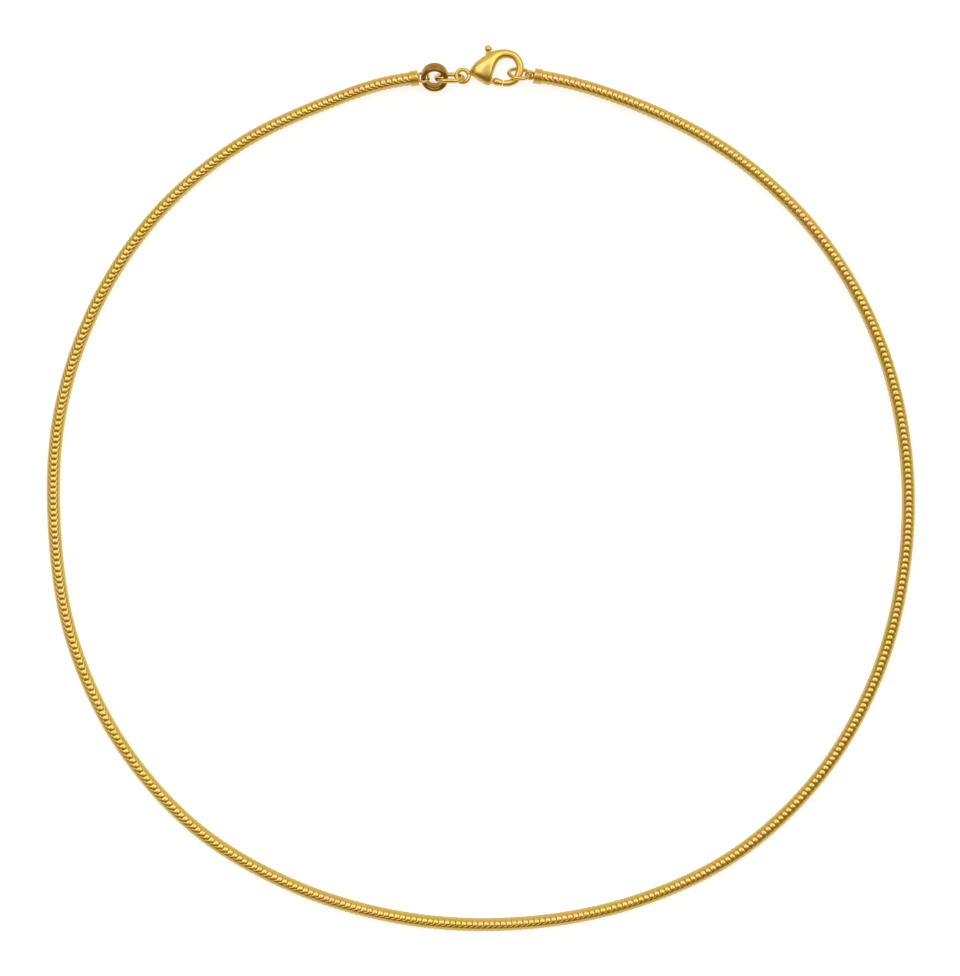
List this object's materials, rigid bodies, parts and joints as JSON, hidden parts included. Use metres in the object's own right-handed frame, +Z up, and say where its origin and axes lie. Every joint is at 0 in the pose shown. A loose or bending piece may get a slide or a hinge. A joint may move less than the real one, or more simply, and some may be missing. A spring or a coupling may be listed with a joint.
{
  "type": "snake chain necklace",
  "caption": "Round snake chain laid flat in a closed loop, with cupped ends, jump rings, an oval link and a lobster clasp whose lever turns.",
  "frame": {"origin": "middle of the necklace's outline, on the surface that it lies on", "axes": "+Z up from the surface, +Y from the front of the loop to the clasp, +X from the clasp's eye to its hook"},
  "size_m": [0.1604, 0.1638, 0.0045],
  "materials": {
    "chain_gold": "gold plated, fine slanted ribs",
    "cap_gold": "gold plated, satin",
    "ring_gold": "gold plated, polished",
    "link_gold": "gold plated, polished",
    "clasp_gold": "gold plated, polished cast",
    "pin_gold": "gold plated, polished",
    "lever_gold": "gold plated, polished"
  },
  "bodies": {
    "necklace": {"chain": "chain_gold", "end_cap_left": "cap_gold", "ring_left": "ring_gold", "small_link": "link_gold", "clasp_body": "clasp_gold", "clasp_pin": "pin_gold", "ring_right": "link_gold", "end_cap_right": "cap_gold"},
    "lever": {"clasp_lever": "lever_gold"}
  },
  "joints": [
    {"name": "lever_turn", "type": "hinge", "parent": "necklace", "child": "lever", "pos_m": [0.0012, 0.07574, 0.00155], "axis": [0, 0, 1], "range_deg": [0, 22], "stiffness_Nm_per_rad": 0.01}
  ]
}
